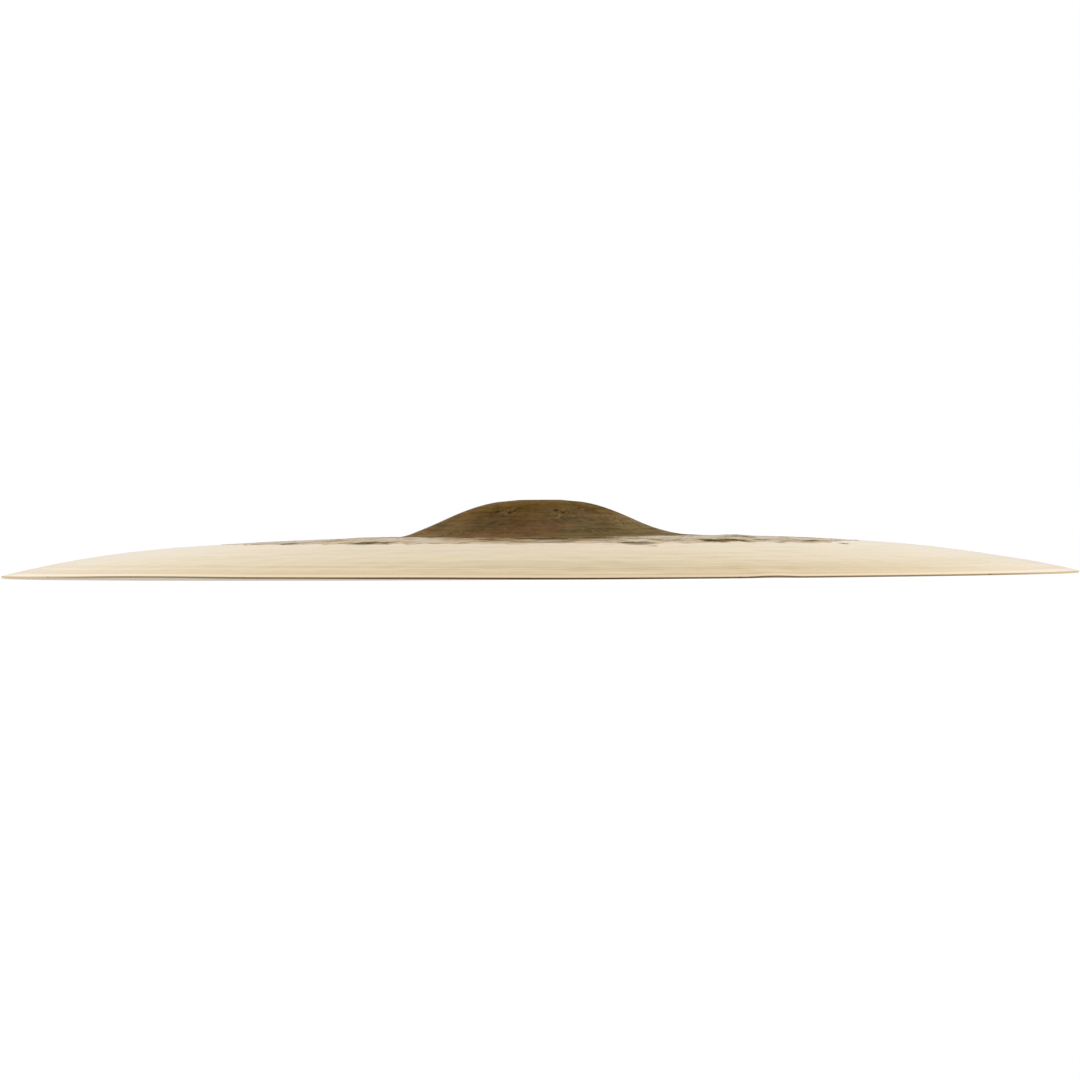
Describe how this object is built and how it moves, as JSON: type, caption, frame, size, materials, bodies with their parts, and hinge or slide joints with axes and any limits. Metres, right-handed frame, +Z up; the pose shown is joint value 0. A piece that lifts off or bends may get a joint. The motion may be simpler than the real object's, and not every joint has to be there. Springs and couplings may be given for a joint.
{
  "type": "crash ride cymbal",
  "caption": "Thin round bronze cymbal with a raised bell, a hole for a stand's rod, a gently falling bow and a bright turned outer zone.",
  "frame": {"origin": "on the axis of the hole, in the plane that the rim rests on", "axes": "+Z up along the axis of the hole, from the rim to the crown of the bell; X and Y lie in the rim's plane"},
  "size_m": [0.508, 0.508, 0.0356],
  "materials": {
    "bronze": "turned bright on the outer bow, with the dark skin of the casting left on the bell and the inner bow"
  },
  "bodies": {
    "root": {"cymbal": "bronze"}
  },
  "joints": []
}
